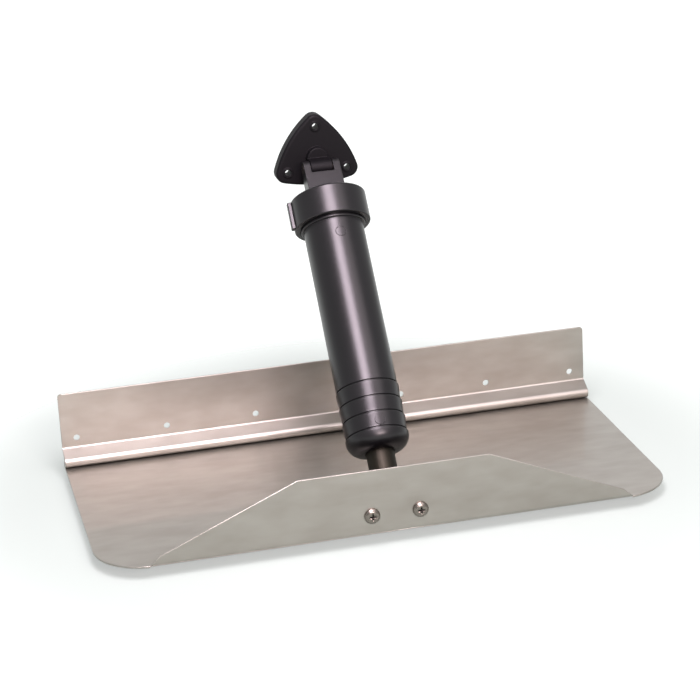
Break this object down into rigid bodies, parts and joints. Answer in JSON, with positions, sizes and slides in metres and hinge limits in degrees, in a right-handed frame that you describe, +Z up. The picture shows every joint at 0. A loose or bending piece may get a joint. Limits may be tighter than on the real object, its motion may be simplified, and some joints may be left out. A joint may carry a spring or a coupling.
{
  "type": "boat trim tab",
  "caption": "Transom-hung hydraulic trim tab: stainless hinged tab with upturned aft flange, black hydraulic cylinder and transom bracket.",
  "frame": {"origin": "on the transom face of the back plate, at mid-span on the line of its screw holes", "axes": "+X along the span, +Y forward into the transom, +Z up; the tab reaches aft to -Y"},
  "size_m": [0.4572, 0.2325, 0.2788],
  "materials": {
    "stainless_sheet": "satin rolled sheet",
    "stainless_hardware": "polished",
    "rod_steel": "ground, dark",
    "spring_steel": "bright wire",
    "black_nylon": "satin moulded glass-filled nylon",
    "bearing_plastic": "machined acetal",
    "seal_rubber": "moulded nitrile"
  },
  "bodies": {
    "back": {"back_plate": "stainless_sheet", "hinge_pin": "stainless_hardware"},
    "tab": {"trim_plane": "stainless_sheet", "lower_bracket": "black_nylon", "bracket_screws": "stainless_hardware", "bracket_washers": "stainless_hardware", "bracket_nuts": "stainless_hardware"},
    "rod": {"piston_rod": "rod_steel", "lower_pivot_pin": "stainless_hardware", "piston": "bearing_plastic", "piston_seal": "seal_rubber", "piston_guide_ring": "bearing_plastic", "piston_screw": "stainless_hardware"},
    "cylinder": {"barrel": "black_nylon", "rod_wiper": "seal_rubber", "rod_bushing": "bearing_plastic", "return_spring": "spring_steel", "collar_nut": "black_nylon", "end_cap": "black_nylon", "end_cap_o_ring": "seal_rubber", "upper_pivot_pin": "stainless_hardware", "pivot_pin_o_rings": "seal_rubber"},
    "transom_bracket": {"upper_bracket": "black_nylon"}
  },
  "joints": [
    {"name": "tab_hinge", "type": "hinge", "parent": "back", "child": "tab", "pos_m": [0, -0.0102, -0.0175], "axis": [1, 0, 0], "range_deg": [0, 20]},
    {"name": "rod_pivot", "type": "hinge", "parent": "tab", "child": "rod", "pos_m": [0, -0.2105, -0.0075], "axis": [1, 0, 0], "range_deg": [-12, 0]},
    {"name": "cylinder_slide", "type": "slide", "parent": "rod", "child": "cylinder", "axis": [0, 0.6422, 0.7665], "range_m": [0, 0.05715], "stiffness_N_per_m": 600, "springref_m": -0.1, "deforming": ["return_spring"]},
    {"name": "bracket_pivot", "type": "hinge", "parent": "cylinder", "child": "transom_bracket", "pos_m": [0, -0.0249, 0.21403], "axis": [1, 0, 0], "range_deg": [-9, 0]}
  ],
  "couplings": [
    {"joint": "rod_pivot", "follows": "tab_hinge", "ratio": -0.56881},
    {"joint": "cylinder_slide", "follows": "tab_hinge", "m_per_rad": 0.14685},
    {"joint": "bracket_pivot", "follows": "tab_hinge", "ratio": -0.43119}
  ]
}
